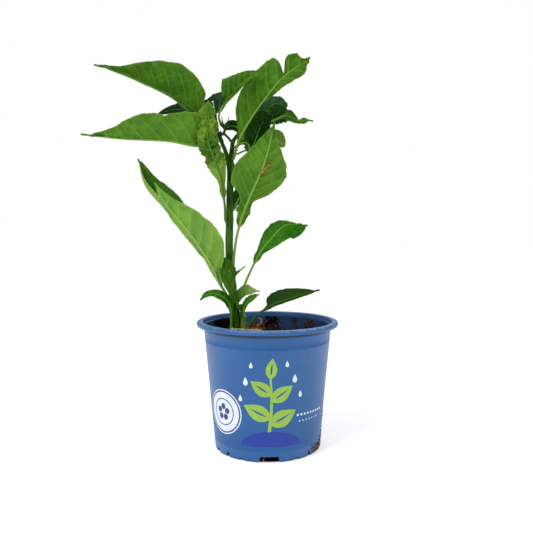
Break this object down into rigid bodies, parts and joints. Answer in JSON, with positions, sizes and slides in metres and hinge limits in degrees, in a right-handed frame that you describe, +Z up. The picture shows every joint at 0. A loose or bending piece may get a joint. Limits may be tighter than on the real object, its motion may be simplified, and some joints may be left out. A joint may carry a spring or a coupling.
{
  "type": "potted chilli pepper plant",
  "caption": "Young chilli pepper plant with folded, blistered leaves on one upright stem, growing in peat in a round blue plastic nursery pot with a rolled rim and a notched foot.",
  "frame": {"origin": "middle of the bounding box at bench height; the pot's axis is 44.1 mm from it along +X", "axes": "+Z up along the stem, -Y towards the front of the plant, +X to its right"},
  "size_m": [0.2082, 0.12, 0.3265],
  "materials": {
    "pot_plastic": "moulded, satin",
    "peat": "moist, crumbly",
    "root": "fibrous",
    "stem": "smooth, ridged",
    "leaf": "waxy, satin",
    "bud": "waxy",
    "bark": "dry, rough",
    "straw": "dry"
  },
  "bodies": {
    "root": {"bark_chip_1": "bark", "bark_chip_2": "bark", "bark_chip_3": "bark", "bark_chip_4": "bark", "bark_chip_5": "bark", "basal_shoot": "stem", "dry_curl": "straw", "flower_bud_lower": "bud", "flower_bud_upper": "bud", "leaf_base_pale": "leaf", "leaf_behind_front": "leaf", "leaf_blistered": "leaf", "leaf_crinkled": "leaf", "leaf_crown": "leaf", "leaf_crown_back": "leaf", "leaf_cupped": "leaf", "leaf_dark_cup": "leaf", "leaf_drooping": "leaf", "leaf_front": "leaf", "leaf_front_of_stem": "leaf", "leaf_inner_dark": "leaf", "leaf_inner_left": "leaf", "leaf_low_right": "leaf", "leaf_lower_left": "leaf", "leaf_lower_left_back": "leaf", "leaf_mid_left": "leaf", "leaf_mid_right": "leaf", "leaf_small_left_back": "leaf", "leaf_small_pale": "leaf", "leaf_spike_left": "leaf", "leaf_spike_right": "leaf", "leaf_sprout": "leaf", "leaf_top_right": "leaf", "leaf_twisted": "leaf", "leaf_upper_left": "leaf", "leaf_young_tip": "leaf", "main_stem": "stem", "peat": "peat", "pot": "pot_plastic", "root_end": "root", "roots": "root"}
  },
  "joints": []
}
